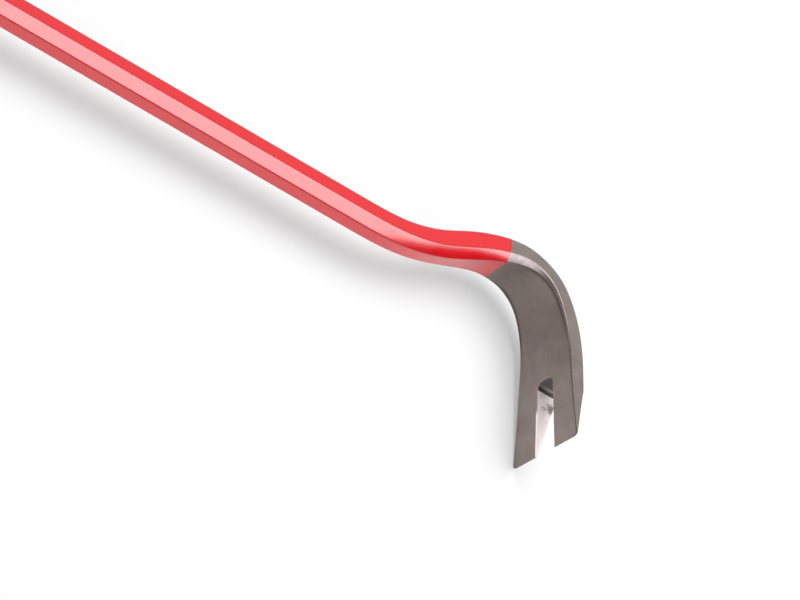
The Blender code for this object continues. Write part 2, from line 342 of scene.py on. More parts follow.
def drawn_through(distances, film, closed_ends):
    """A bmesh skin over the bar between the first distance and the last."""
    rings = [ring_in_space(d, film) for d in distances]
    bm = extruded_through([ring.points for ring in rings], closed_ends)
    write_uv_maps(bm, distances, rings)
    return bm


def write_uv_maps(bm, distances, rings):
    place = bm.verts.layers.int["place_in_ring"]
    order = bm.verts.layers.int["ring_number"]
    skin, ridge = (bm.loops.layers.uv.new(name) for name in (SKIN_UV, RIDGE_UV))
    last = len(rings[0].points) - 1
    for face in bm.faces:
        places = {loop.vert[place] for loop in face.loops}
        closes_ring = places == {0, last}
        for loop in face.loops:
            ring = rings[loop.vert[order]]
            k = loop.vert[place]
            k = last + 1 if closes_ring and k == 0 else k
            loop[skin].uv = (distances[loop.vert[order]], ring.around[k])
            loop[ridge].uv = (ring.reach[k], ring.across[loop.vert[place]])


def side_of(face, place):
    """Which of the eight flats a face belongs to, or None where it rounds a corner or closes an end."""
    places = sorted({vert[place] for vert in face.verts})
    if len(places) != 2:
        return None
    first = places[1] if places[1] - places[0] > 1 else places[0]
    return None if first % POINTS_PER_SIDE < ARC_SEGMENTS else first // POINTS_PER_SIDE


# %% [markdown]
# ## Where the sections go
# The shank is straight, so a section every 12 mm is plenty there. The chisel takes one every 2 mm, and the
# neck and the hook one every 1.5 mm, so that their outlines show no corners. The rounded corners of both
# tips take a few more.

# %% Distances of the sections
SHANK_STEP, BEND_STEP, CHISEL_STEP = 0.012, 0.0015, 0.002
ROUNDED_SHARES = (0.0, 0.03, 0.134, 0.29, 0.5, 0.74)


def spread(start, end, step):
    count = max(1, round((end - start) / step))
    return [start + (end - start) * k / count for k in range(count)]


def stations():
    chisel_round = [CHISEL_TIP + CHISEL_CORNER_RADIUS * share for share in ROUNDED_SHARES]
    claw_round = [CLAW_TIP - TIP_CORNER_RADIUS * share for share in reversed(ROUNDED_SHARES)]
    return (
        chisel_round
        + spread(CHISEL_TIP + CHISEL_CORNER_RADIUS, -STRAIGHT_LENGTH, CHISEL_STEP)
        + spread(-STRAIGHT_LENGTH, 0, SHANK_STEP)
        + spread(0, CLAW_TIP - TIP_CORNER_RADIUS, BEND_STEP)
        + claw_round
    )


print("sections along the bar:", len(stations()))

# %% [markdown]
# ## Small helpers for materials
# A material is a tree of nodes. Placing each node by hand takes many lines, so one helper adds a node,
# sets its options, and gives each socket a number or a wire. A tint is a colour and its greatest share.

# %% Node helpers
CLOUD_MIDDLE = (0.3, 0.7)
RELIEF_DEPTH = 0.00005
Tint = namedtuple("Tint", "share colour")


def place_node(tree, kind, sockets=None, **options):
    """Add a node. A socket's value is a number, a colour, or another node's output to wire in."""
    node = tree.nodes.new(kind)
    for name, value in options.items():
        setattr(node, name, value)
    for name, value in (sockets or {}).items():
        if isinstance(value, bpy.types.NodeSocket):
            tree.links.new(value, node.inputs[name])
        else:
            node.inputs[name].default_value = value
    return node


def reckon(tree, operation, a, b=0.0):
    """Two numbers put through one of the Math node's operations."""
    return place_node(tree, "ShaderNodeMath", {0: a, 1: b}, operation=operation).outputs[0]


def times(tree, a, b):
    return reckon(tree, "MULTIPLY", a, b)


def remapped(tree, value, low, high, to_low=0.0, to_high=1.0, smooth=False):
    """A value stretched from one range to another and held at its ends."""
    sockets = {"Value": value, "From Min": low, "From Max": high, "To Min": to_low, "To Max": to_high}
    kind = "SMOOTHSTEP" if smooth else "LINEAR"
    return place_node(tree, "ShaderNodeMapRange", sockets, interpolation_type=kind).outputs["Result"]


def mixed(tree, share, first, second):
    """Two colours blended by a share."""
    node = place_node(tree, "ShaderNodeMix", {0: share, 6: first, 7: second}, data_type="RGBA")
    return node.outputs[2]


def object_coords(tree):
    return place_node(tree, "ShaderNodeTexCoord").outputs["Object"]


def uv_axes(tree, uv_map):
    """The two axes of one of a piece's UV maps."""
    place = place_node(tree, "ShaderNodeUVMap", uv_map=uv_map).outputs["UV"]
    return place_node(tree, "ShaderNodeSeparateXYZ", {0: place}).outputs[:2]


def tinted(tree, body, mask, tint):
    """A colour with a tint laid over it where the mask is white."""
    return mixed(tree, times(tree, mask, tint.share), body, tint.colour)


def cloud(tree, vector, scale, detail=3.0):
    sockets = {"Vector": vector, "Scale": scale, "Detail": detail}
    return place_node(tree, "ShaderNodeTexNoise", sockets).outputs["Fac"]


def raise_relief(tree, shader, height, strength):
    """Let a height tilt the light on a shader, without moving the surface."""
    sockets = {"Height": height, "Strength": strength, "Distance": RELIEF_DEPTH}
    bump = place_node(tree, "ShaderNodeBump", sockets)
    tree.links.new(bump.outputs["Normal"], shader.inputs["Normal"])


def count_nodes(name, tree):
    print(name, "has", len(tree.nodes), "nodes")


def new_group(name, inputs, outputs):
    """An empty node group with named number inputs and outputs, and its two end nodes."""
    tree = bpy.data.node_groups.new(name, "ShaderNodeTree")
    for socket, default in inputs.items():
        made = tree.interface.new_socket(socket, in_out="INPUT", socket_type="NodeSocketFloat")
        made.default_value = default
    for socket in outputs:
        tree.interface.new_socket(socket, in_out="OUTPUT", socket_type="NodeSocketFloat")
    return tree, tree.nodes.new("NodeGroupInput").outputs, tree.nodes.new("NodeGroupOutput").inputs


def use_group(tree, group, **sockets):
    given = {name.replace("_", " "): value for name, value in sockets.items()}
    return place_node(tree, "ShaderNodeGroup", given, node_tree=group)


# %% [markdown]
# ## Group: worn ridges
# Corners wear first. This group turns the distance from a corner into a mask that is strongest on the
# corner itself. Noise eats into it, so that the worn line is broken instead of ruled. The claw's steel uses
# it for pits along its corners, and the enamel for the thin coat that corners hold.

# %% Worn ridges
GRIT_GAIN = 4.0
RIDGE_FULL = 0.7


def make_worn_ridge():
    tree, given, result = new_group("worn_ridge", {"Width": 0.0006, "Breakup": 0.5, "Scale": 900.0}, ["Mask"])
    distance = uv_axes(tree, RIDGE_UV)[0]
    coords = object_coords(tree)
    grit = reckon(tree, "SUBTRACT", cloud(tree, coords, given["Scale"], detail=4.0), 0.5)
    nearness = reckon(tree, "SUBTRACT", 1.0, reckon(tree, "DIVIDE", distance, given["Width"]))
    bite = times(tree, grit, times(tree, given["Breakup"], GRIT_GAIN))
    eaten = reckon(tree, "ADD", nearness, bite)
    tree.links.new(remapped(tree, eaten, 0.0, RIDGE_FULL, smooth=True), result["Mask"])
    return tree


worn_ridge = make_worn_ridge()
count_nodes(worn_ridge.name, worn_ridge)

# %% [markdown]
# ## Group: handling marks
# A tool that has been packed and carried has fine scratches at all angles and a few small specks.
# Stretched noise, turned two ways, makes the scratches, and the cores of scattered cells make the specks.

# %% Handling marks
SCRATCH_TURNS = (0.5, 2.2)
SCRATCH_STRETCH = (1.0, 0.035, 1.0)
SCRATCH_CUT = (0.70, 0.74)
SPECK_RARITY = 0.86


def make_handling_marks():
    inputs = {"Scratch Scale": 700.0, "Speck Scale": 260.0, "Speck Size": 0.12}
    tree, given, result = new_group("handling_marks", inputs, ["Scratches", "Specks"])
    coords = object_coords(tree)
    lines = 0.0
    for turn in SCRATCH_TURNS:
        sockets = {"Vector": coords, "Rotation": (turn, turn / 2, turn), "Scale": SCRATCH_STRETCH}
        turned = place_node(tree, "ShaderNodeMapping", sockets).outputs["Vector"]
        streak = remapped(tree, cloud(tree, turned, given["Scratch Scale"], detail=1.0), *SCRATCH_CUT)
        lines = reckon(tree, "MAXIMUM", streak, lines)
    tree.links.new(lines, result["Scratches"])
    cells = place_node(tree, "ShaderNodeTexVoronoi", {"Vector": coords, "Scale": given["Speck Scale"]})
    lottery = place_node(tree, "ShaderNodeSeparateColor", {0: cells.outputs["Color"]}).outputs[0]
    chosen = reckon(tree, "GREATER_THAN", lottery, SPECK_RARITY)
    core = reckon(tree, "LESS_THAN", cells.outputs["Distance"], given["Speck Size"])
    tree.links.new(times(tree, chosen, core), result["Specks"])
    return tree


handling_marks = make_handling_marks()
count_nodes(handling_marks.name, handling_marks)

# %% [markdown]
# ## Group: rolled grain
# Rolling and forging leave very faint lines along the bar, and scale leaves soft mottling. The lines are
# noise on the **bar_skin** map, stretched along the bar, so that they follow the neck and the hook. The
# mottling is noise on Object coordinates, which has no direction.

# %% Rolled grain
def make_rolled_grain():
    inputs = {"Along": 60.0, "Around": 1600.0, "Mottle Scale": 90.0}
    tree, given, result = new_group("rolled_grain", inputs, ["Lines", "Mottle"])
    axes = uv_axes(tree, SKIN_UV)
    along = times(tree, axes[0], given["Along"])
    around = times(tree, axes[1], given["Around"])
    stretched = place_node(tree, "ShaderNodeCombineXYZ", {0: along, 1: around}).outputs[0]
    tree.links.new(cloud(tree, stretched, 1.0, detail=4.0), result["Lines"])
    coords = object_coords(tree)
    tree.links.new(cloud(tree, coords, given["Mottle Scale"], detail=5.0), result["Mottle"])
    return tree


rolled_grain = make_rolled_grain()
count_nodes(rolled_grain.name, rolled_grain)

# %% [markdown]
# ## Finish: red enamel
# The shank and neck are sprayed with a gloss enamel and stoved. Close up, such a coat has the faint
# ripple called orange peel, it is thinner and darker over the corners, and it shows the steel's own faint
# lines. The Principled shader's coat layer gives the sharp gloss over the softer sheen of the pigment. A
# pure red throws a strong pink glow on a pale floor, so light that bounces off it softly sees a duller one.

# %% Red enamel
ENAMEL_DEEP, ENAMEL_LIGHT = (0.64, 0.0018, 0.0085, 1), (0.71, 0.0024, 0.0110, 1)
THIN_ENAMEL = Tint(0.55, (0.42, 0.0030, 0.0100, 1))
ENAMEL_SPECK = Tint(0.3, (0.45, 0.0060, 0.0080, 1))
ENAMEL_BOUNCED = (0.36, 0.22, 0.22, 1)
ENAMEL_SPECULAR = 0.4
ENAMEL_ROUGHNESS, SCRATCH_ROUGHNESS = (0.17, 0.23), 0.05
COAT_WEIGHT, COAT_ROUGHNESS = 0.85, 0.08
ENAMEL_HAZE_SCALE, PEEL_SCALE = 160.0, 900.0
GRAIN_UNDER_ENAMEL = 0.5
ENAMEL_RELIEF = 0.09


def new_material(name):
    material = bpy.data.materials.new(name)
    material.use_nodes = True
    return material, material.node_tree, material.node_tree.nodes["Principled BSDF"]


def make_enamel():
    material, tree, shader = new_material("red_enamel")
    coords = object_coords(tree)
    grain = use_group(tree, rolled_grain, Along=30.0, Around=700.0, Mottle_Scale=35.0)
    marks = use_group(tree, handling_marks, Scratch_Scale=500.0, Speck_Scale=220.0, Speck_Size=0.08)
    ridge = use_group(tree, worn_ridge, Width=0.0008, Breakup=0.08, Scale=500.0)
    body = mixed(tree, grain.outputs["Mottle"], ENAMEL_DEEP, ENAMEL_LIGHT)
    thin = tinted(tree, body, ridge.outputs["Mask"], THIN_ENAMEL)
    dusty = tinted(tree, thin, marks.outputs["Specks"], ENAMEL_SPECK)
    bounced = place_node(tree, "ShaderNodeLightPath").outputs["Is Diffuse Ray"]
    tree.links.new(mixed(tree, bounced, dusty, ENAMEL_BOUNCED), shader.inputs["Base Color"])
    haze = cloud(tree, coords, ENAMEL_HAZE_SCALE, detail=4.0)
    haze = remapped(tree, haze, *CLOUD_MIDDLE, *ENAMEL_ROUGHNESS)
    scratched = times(tree, marks.outputs["Scratches"], SCRATCH_ROUGHNESS)
    tree.links.new(reckon(tree, "ADD", haze, scratched), shader.inputs["Roughness"])
    shader.inputs["Specular IOR Level"].default_value = ENAMEL_SPECULAR
    shader.inputs["Coat Weight"].default_value = COAT_WEIGHT
    shader.inputs["Coat Roughness"].default_value = COAT_ROUGHNESS
    peel = cloud(tree, coords, PEEL_SCALE, detail=2.0)
    lines = times(tree, grain.outputs["Lines"], GRAIN_UNDER_ENAMEL)
    raise_relief(tree, shader, reckon(tree, "ADD", peel, lines), ENAMEL_RELIEF)
    return material


red_enamel = make_enamel()
count_nodes(red_enamel.name, red_enamel.node_tree)

# %% [markdown]
# ## Group: where on the bar
# Some marks belong to one stretch of the bar, such as the painted shade and the dark line in the heel. This
# group reads both maps and gives the distance along the bar, the distance from the nearest corner, and the
# share across the inner chamfer, so a finish can say where such a mark starts and stops.

# %% Where on the bar
def make_where_on_bar():
    tree, _, result = new_group("where_on_bar", {}, ["Along", "From Corner", "Across Chamfer"])
    from_corner, across = uv_axes(tree, RIDGE_UV)
    tree.links.new(uv_axes(tree, SKIN_UV)[0], result["Along"])
    tree.links.new(from_corner, result["From Corner"])
    tree.links.new(across, result["Across Chamfer"])
    return tree


where_on_bar = make_where_on_bar()
count_nodes(where_on_bar.name, where_on_bar)

# %% [markdown]
# ## Group: stretch
# A mark rarely starts or stops at a line. This mask rises smoothly over one range of distances and falls
# over a later one. The steel uses it along the bar, and the studio's cards to fade towards their edges.

# %% Stretch
def make_stretch():
    inputs = {"Along": 0.0, "Rise Start": 0.0, "Rise End": 0.1, "Fall Start": 0.9, "Fall End": 1.0}
    tree, given, result = new_group("stretch", inputs, ["Mask"])
    risen = remapped(tree, given["Along"], given["Rise Start"], given["Rise End"], smooth=True)
    fallen = remapped(tree, given["Along"], given["Fall Start"], given["Fall End"], 1.0, 0.0, smooth=True)
    tree.links.new(times(tree, risen, fallen), result["Mask"])
    return tree


stretch = make_stretch()
count_nodes(stretch.name, stretch)


def stretch_of(tree, along, rise, fall):
    """The stretch group's mask. It rises over one range of distances and falls over a later one."""
    ends = {"Rise_Start": rise[0], "Rise_End": rise[1], "Fall_Start": fall[0], "Fall_End": fall[1]}
    return use_group(tree, stretch, Along=along, **ends).outputs["Mask"]


# %% [markdown]
# ## Group: steel surface
# The three steel finishes differ in colour and gloss, but share the same fine tooth. This group makes a
# hazy roughness, and a height that a Bump node in each material turns into tilted light.

# %% Steel surface
STEEL_HAZE_SCALE, TOOTH_SCALE = 300.0, 2600.0
SCRATCH_DEPTH = 0.3


def make_steel_surface():
    inputs = {"Lines": 0.5, "Scratches": 0.0, "Rough Low": 0.4, "Rough High": 0.5}
    tree, given, result = new_group("steel_surface", inputs, ["Roughness", "Height"])
    coords = object_coords(tree)
    haze = cloud(tree, coords, STEEL_HAZE_SCALE, detail=4.0)
    haze = remapped(tree, haze, *CLOUD_MIDDLE, given["Rough Low"], given["Rough High"])
    tree.links.new(haze, result["Roughness"])
    height = reckon(tree, "ADD", cloud(tree, coords, TOOTH_SCALE, detail=3.0), given["Lines"])
    scratched = times(tree, given["Scratches"], SCRATCH_DEPTH)
    tree.links.new(reckon(tree, "SUBTRACT", height, scratched), result["Height"])
    return tree


steel_surface = make_steel_surface()
count_nodes(steel_surface.name, steel_surface)

# %% [markdown]
# ## Finish: forged steel
# Below the enamel line the steel is bare. Its faces keep a thin brown-grey oxide from the forge, which is
# satin rather than shiny. The oxide is duller than clean metal, so Metallic stays below 1. The inside
# of the heel is painted darker: painted shade in the hollow of the hook. A dark brown line runs along the
# face's edge under the chamfer there. Further down the claw that line breaks up into pits.

# %% Forged steel
Steel = namedtuple("Steel", "name metallic mottle_scale along around speck_scale roughness relief")
FORGED = Steel("forged_steel", 0.7, 110.0, 60.0, 1600.0, 420.0, (0.46, 0.56), 0.35)
FORGED_DARK, FORGED_LIGHT = (0.232, 0.190, 0.175, 1), (0.300, 0.252, 0.236, 1)
FORGED_LINE = Tint(0.4, (0.335, 0.284, 0.268, 1))
FORGED_LINE_RANGE = (0.35, 0.75)
# painted shade: the inner face darkens in the hollow of the heel
HEEL_SHADE, HEEL_RISE, HEEL_FALL = Tint(0.35, (0.165, 0.134, 0.120, 1)), (0.108, 0.122), (0.150, 0.190)
# a dark brown line along the face's edge under the chamfer, in the heel only
DARK_EDGE_LINE, EDGE_LINE_RISE, EDGE_LINE_FALL = Tint(0.7, (0.050, 0.034, 0.027, 1)), (0.112, 0.130), (0.155, 0.178)
EDGE_LINE_FROM_CORNER, FACE_SHARE = (0.0002, 0.0022), 0.3
PIT_DARK = (0.035, 0.028, 0.024, 1)
CORNER_PITS, PITS_RISE, PITS_FALL = Tint(0.75, PIT_DARK), (0.165, 0.178), (0.30, 0.31)
FORGED_SPECKS = Tint(0.18, PIT_DARK)


def steel_base(steel):
    """A bare steel material with the groups that all steels share, except for its colour."""
    material, tree, shader = new_material(steel.name)
    lines = {"Along": steel.along, "Around": steel.around, "Mottle_Scale": steel.mottle_scale}
    grain = use_group(tree, rolled_grain, **lines).outputs
    wear = {"Scratch_Scale": 900.0, "Speck_Scale": steel.speck_scale, "Speck_Size": 0.16}
    marks = use_group(tree, handling_marks, **wear).outputs
    gloss = {"Rough_Low": steel.roughness[0], "Rough_High": steel.roughness[1]}
    relief = {"Lines": grain["Lines"], "Scratches": marks["Scratches"]}
    surface = use_group(tree, steel_surface, **gloss, **relief).outputs
    shader.inputs["Metallic"].default_value = steel.metallic
    tree.links.new(surface["Roughness"], shader.inputs["Roughness"])
    raise_relief(tree, shader, surface["Height"], steel.relief)
    return material, tree, shader.inputs["Base Color"], grain, marks


def make_forged_steel():
    material, tree, colour, grain, marks = steel_base(FORGED)
    where = use_group(tree, where_on_bar).outputs
    ridge = use_group(tree, worn_ridge, Width=0.0003, Breakup=0.8, Scale=1600.0).outputs["Mask"]
    on_face = remapped(tree, where["Across Chamfer"], 0.0, FACE_SHARE, 1.0, 0.0)
    body = mixed(tree, remapped(tree, grain["Mottle"], *CLOUD_MIDDLE), FORGED_DARK, FORGED_LIGHT)
    body = tinted(tree, body, remapped(tree, grain["Lines"], *FORGED_LINE_RANGE), FORGED_LINE)
    # painted shade in the heel's hollow, on the inner face only
    heel = times(tree, stretch_of(tree, where["Along"], HEEL_RISE, HEEL_FALL), on_face)
    body = tinted(tree, body, heel, HEEL_SHADE)
    # a dark brown line along the face's edge under the chamfer in the heel
    under = remapped(tree, where["From Corner"], *EDGE_LINE_FROM_CORNER, 1.0, 0.0, smooth=True)
    under = times(tree, under, on_face)
    dark_edge_line = times(tree, under, stretch_of(tree, where["Along"], EDGE_LINE_RISE, EDGE_LINE_FALL))
    body = tinted(tree, body, dark_edge_line, DARK_EDGE_LINE)
    pits = times(tree, ridge, stretch_of(tree, where["Along"], PITS_RISE, PITS_FALL))
    body = tinted(tree, body, pits, CORNER_PITS)
    tree.links.new(tinted(tree, body, marks["Specks"], FORGED_SPECKS), colour)
    return material


forged_steel = make_forged_steel()

# %% [markdown]
# ## Finish: ground chamfers
# The chamfers on the inside of the hook were ground after forging, so they are brighter, with fine marks
# across them. From the heel on they are painted darker, as painted shade where the chamfer turns away
# from the light, and a thin painted highlight runs along their outer edge.

# %% Ground chamfers
GROUND = Steel("ground_steel", 0.85, 150.0, 900.0, 120.0, 420.0, (0.42, 0.52), 0.35)
GROUND_DARK, GROUND_LIGHT = (0.190, 0.165, 0.168, 1), (0.300, 0.262, 0.266, 1)
# painted shade: the chamfer is darker from the heel on, where it turns away from the light
SHADED_CHAMFER_DARK, SHADED_CHAMFER_LIGHT = (0.145, 0.110, 0.097, 1), (0.200, 0.158, 0.142, 1)
CHAMFER_SHADE_START = (0.124, 0.136)
# painted highlight: a thin bright line along the chamfer's outer edge past the heel
PAINTED_EDGE_HIGHLIGHT, HIGHLIGHT_ACROSS = (0.88, 0.83, 0.78, 1), (0.62, 0.85)
GROUND_SPECKS = Tint(0.5, PIT_DARK)


def make_ground_steel():
    material, tree, colour, grain, marks = steel_base(GROUND)
    where = use_group(tree, where_on_bar).outputs
    bright = mixed(tree, remapped(tree, grain["Lines"], *CLOUD_MIDDLE), GROUND_DARK, GROUND_LIGHT)
    brown = mixed(tree, remapped(tree, grain["Mottle"], *CLOUD_MIDDLE), SHADED_CHAMFER_DARK, SHADED_CHAMFER_LIGHT)
    # painted shade on the chamfer from the heel on
    past_heel = remapped(tree, where["Along"], *CHAMFER_SHADE_START, smooth=True)
    body = mixed(tree, past_heel, bright, brown)
    # painted highlight along the chamfer's outer edge
    edge = remapped(tree, where["Across Chamfer"], *HIGHLIGHT_ACROSS, smooth=True)
    body = mixed(tree, times(tree, edge, past_heel), body, PAINTED_EDGE_HIGHLIGHT)
    tree.links.new(tinted(tree, body, marks["Specks"], GROUND_SPECKS), colour)
    return material


ground_steel = make_ground_steel()

# %% [markdown]
# ## Finish: the slot's walls
# The slot is cut last, so its walls are the cleanest steel on the tool. Its round root is painted dark, as
# painted shade deep in the slot, with a black painted shadow line across it. The cutter's own map gives the
# distance back from the tip and the depth. It places a small ring of rust, where a drop has dried, and a
# brown smear, alike on both walls.

# %% Cut steel
CUT = Steel("cut_steel", 0.25, 260.0, 120.0, 900.0, 520.0, (0.36, 0.48), 0.3)
CUT_DARK, CUT_LIGHT = (0.82, 0.73, 0.74, 1), (0.94, 0.85, 0.86, 1)
STAIN, STAIN_RANGE = Tint(0.5, (0.30, 0.26, 0.25, 1)), (0.62, 0.74)
RUST, RUST_RING = Tint(0.85, (0.12, 0.08, 0.065, 1)), (-0.0316, 0.0045)
RUST_RING_RADIUS, RUST_RING_WALL = 0.0010, 0.00045
SMEAR, SMEAR_PLACE = Tint(0.85, (0.12, 0.095, 0.090, 1)), (-0.0334, 0.0098)
SMEAR_RADIUS, SMEAR_START, SMEAR_END, RAGGED_SCALE = 0.0046, 0.8, 1.4, 700.0
# painted shade: the slot's round root is dark, deep inside the slot
PAINTED_ROOT_SHADE, ROOT_SHADE_START = Tint(0.95, (0.052, 0.041, 0.038, 1)), (-0.0425, -0.0409)
# painted shadow: a black line across the root
PAINTED_SHADOW_LINE = Tint(0.9, (0.016, 0.011, 0.010, 1))
SHADOW_LINE_RISE, SHADOW_LINE_FALL = (-0.0438, -0.0434), (-0.0411, -0.0408)
CUT_SPECKS = Tint(0.7, PIT_DARK)
LIP_DULL, LIP_CLEAN = (0.26, 0.215, 0.20, 1), (0.86, 0.80, 0.72, 1)
LIP_DEPTH, LIP_START = 0.0004, (-0.0300, -0.0250)


def far_from(tree, axes, centre):
    """Distance in the slot wall's own map from one place on it."""
    back = reckon(tree, "SUBTRACT", axes[0], centre[0])
    depth = reckon(tree, "SUBTRACT", axes[1], centre[1])
    squares = (times(tree, value, value) for value in (back, depth))
    return reckon(tree, "SQRT", reckon(tree, "ADD", *squares))


def rust_ring_mask(tree, axes):
    off_ring = reckon(tree, "SUBTRACT", far_from(tree, axes, RUST_RING), RUST_RING_RADIUS)
    return remapped(tree, reckon(tree, "ABSOLUTE", off_ring), 0.0, RUST_RING_WALL, 1.0, 0.0)


def smear_mask(tree, axes):
    """A round smear whose edge is made ragged by noise."""
    coords = object_coords(tree)
    ragged = times(tree, cloud(tree, coords, RAGGED_SCALE, detail=4.0), SMEAR_RADIUS)
    distance = reckon(tree, "ADD", far_from(tree, axes, SMEAR_PLACE), ragged)
    return remapped(tree, distance, SMEAR_START * SMEAR_RADIUS, SMEAR_END * SMEAR_RADIUS, 1.0, 0.0)


def make_cut_steel():
    material, tree, colour, grain, marks = steel_base(CUT)
    axes = uv_axes(tree, SKIN_UV)
    body = mixed(tree, remapped(tree, grain["Lines"], *CLOUD_MIDDLE), CUT_DARK, CUT_LIGHT)
    body = tinted(tree, body, remapped(tree, grain["Mottle"], *STAIN_RANGE), STAIN)
    body = tinted(tree, body, rust_ring_mask(tree, axes), RUST)
    body = tinted(tree, body, smear_mask(tree, axes), SMEAR)
    # painted shade at the root, then a painted shadow line across it
    body = tinted(tree, body, remapped(tree, axes[0], *ROOT_SHADE_START, 1.0, 0.0, smooth=True), PAINTED_ROOT_SHADE)
    body = tinted(tree, body, stretch_of(tree, axes[0], SHADOW_LINE_RISE, SHADOW_LINE_FALL), PAINTED_SHADOW_LINE)
    body = tinted(tree, body, marks["Specks"], CUT_SPECKS)
    lip = remapped(tree, axes[1], LIP_DEPTH, 2 * LIP_DEPTH, 1.0, 0.0)
    lip_colour = mixed(tree, remapped(tree, axes[0], *LIP_START, smooth=True), LIP_DULL, LIP_CLEAN)
    tree.links.new(mixed(tree, lip, body, lip_colour), colour)
    return material


cut_steel = make_cut_steel()
for finish in (forged_steel, ground_steel, cut_steel):
    count_nodes(finish.name, finish.node_tree)

# %% [markdown]
# ## The forging
# The loft gives the bar before it is slotted. Its faces take the satin steel, and its inner chamfers the
# brighter ground finish.

# %% Draw the forging
def object_from(name, bm, materials):
    mesh = bpy.data.meshes.new(name)
    bm.to_mesh(mesh)
    bm.free()
    made = bpy.data.objects.new(name, mesh)
    for material in materials:
        mesh.materials.append(material)
    bpy.context.scene.collection.objects.link(made)
    return made


def draw_forging():
    bm = drawn_through(stations(), 0.0, closed_ends=True)
    place = bm.verts.layers.int["place_in_ring"]
    order = bm.verts.layers.int["ring_number"]
    distances = stations()
    for face in bm.faces:
        past_shank = distances[max(v[order] for v in face.verts)] > 0
        face.material_index = 1 if past_shank and side_of(face, place) in INNER_CHAMFERS else 0
    return object_from("claw_bar_forging", bm, [forged_steel, ground_steel])


bar = draw_forging()
print("faces before the slot is cut:", len(bar.data.polygons))

# %% [markdown]
# ## The nail slot
# The slot is milled or punched after forging, so a cutter that has its shape is the natural way to make
# it. The cutter is an outline extruded through the claw. Its first layer is wider, which leaves
# the small bevel along the slot's upper edge.

# %% Cut the slot
SLOT_LENGTH, SLOT_ROOT_WIDTH, SLOT_MOUTH_WIDTH = 0.0453, 0.0105, 0.0127
SLOT_CORNER_RADIUS, SLOT_EDGE_BEVEL = 0.004, 0.0007
SLOT_ARC_STEPS = 10
CUT_MARGIN = 0.002


def slot_outline(grow):
    """The slot in the claw's plane as pairs: across the claw, and back from its tip."""
    corner, root = SLOT_CORNER_RADIUS + grow, SLOT_LENGTH + grow
    lean = (SLOT_MOUTH_WIDTH - SLOT_ROOT_WIDTH) / 2 / SLOT_LENGTH
    half_root = SLOT_ROOT_WIDTH / 2 + grow
    half_front = SLOT_MOUTH_WIDTH / 2 + lean * CUT_MARGIN + grow
    right = [Vector((half_front, -CUT_MARGIN))]
    for k in range(SLOT_ARC_STEPS + 1):
        angle = math.pi / 2 * k / SLOT_ARC_STEPS
        across = half_root - corner * (1 - math.cos(angle))
        right.append(Vector((across, root - corner * (1 - math.sin(angle)))))
    return right + [Vector((-p.x, p.y)) for p in reversed(right)]


def make_cutter():
    angle = heading(CLAW_TIP)
    along = Vector((math.cos(angle), math.sin(angle), 0))
    inward = Vector((-math.sin(angle), math.cos(angle), 0))
    tip = walk(CLAW_TIP)
    layers = (
        (-CUT_MARGIN, SLOT_EDGE_BEVEL + CUT_MARGIN),
        (SLOT_EDGE_BEVEL, 0.0),
        (ACROSS_FLATS + CUT_MARGIN, 0.0),
    )
    rings = [
        [tip + Vector((0, 0, p.x)) - along * p.y + inward * depth for p in slot_outline(grow)]
        for depth, grow in layers
    ]
    bm = extruded_through(rings, closed_ends=True)
    for name in (SKIN_UV, RIDGE_UV):
        layer = bm.loops.layers.uv.new(name)
        for face in bm.faces:
            for loop in face.loops:
                back = (loop.vert.co - tip).dot(along)
                depth = (loop.vert.co - tip).dot(inward)
                loop[layer].uv = (back, depth) if name == SKIN_UV else (depth - SLOT_EDGE_BEVEL, back)
    return object_from("slot_cutter", bm, [cut_steel])


def apply_modifiers(obj):
    """Turn what the modifiers show into the object's own mesh."""
    shown = obj.evaluated_get(bpy.context.evaluated_depsgraph_get())
    obj.data = bpy.data.meshes.new_from_object(shown)
    obj.modifiers.clear()


def cut_with(obj, cutter):
    cut = obj.modifiers.new("nail slot", "BOOLEAN")
    cut.operation = "DIFFERENCE"
    cut.solver = "EXACT"
    cut.material_mode = "TRANSFER"
    cut.object = cutter
    apply_modifiers(obj)
    bpy.data.objects.remove(cutter)


cut_with(bar, make_cutter())
print("faces with the slot:", len(bar.data.polygons), "materials:", [m.name for m in bar.data.materials])

# %% [markdown]
# ## The film of enamel
# The enamel is a real skin that stands 0.15 mm proud of the steel. It is the same loft, moved out by that
# much and given a wall by Solidify. The wall is a little thicker, so it ends just inside the steel and no
# gap shows at the masking lines. At the neck that line is straight and leans a little, so one slanted plane
# cuts the skin there.

# %% Draw the enamel
FILM = 0.00015
FILM_WALL = 0.00022
PAINT_PAST_NECK, PAINT_LINE_SLANT = 0.0228, 8.0
BARE_CHISEL_LENGTH = 0.045
ON_PLANE = 1e-7


def draw_enamel():
    first = CHISEL_TIP + BARE_CHISEL_LENGTH
    beyond = NECK_LENGTH + PAINT_PAST_NECK + ACROSS_FLATS
    distances = [first] + [d for d in stations() if first + BEND_STEP / 2 < d < beyond] + [beyond]
    bm = drawn_through(distances, FILM, closed_ends=False)
    slant = math.radians(PAINT_LINE_SLANT)
    bmesh.ops.bisect_plane(
        bm,
        geom=bm.verts[:] + bm.edges[:] + bm.faces[:],
        dist=ON_PLANE,
        plane_co=walk(NECK_LENGTH) + Vector((PAINT_PAST_NECK, 0, 0)),
        plane_no=Vector((math.cos(slant), 0, math.sin(slant))),
        clear_outer=True,
    )
    made = object_from("enamel_film", bm, [red_enamel])
    wall = made.modifiers.new("film", "SOLIDIFY")
    wall.thickness = FILM_WALL
    wall.offset = -1.0
    wall.use_even_offset = True
    apply_modifiers(made)
    return made


film = draw_enamel()
print("faces of the film:", len(film.data.polygons))

# %% [markdown]
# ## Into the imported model's frame
# So far both pieces lie in the bar's own frame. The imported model's box says where they go: its middle
# fits, except across the hook, where the claw's tip is the point that both models share. The move is
# made in the mesh, so that each object stays at the origin. Then each new surface is compared with the
# packed one, whose corners are coarser and whose film is thicker.

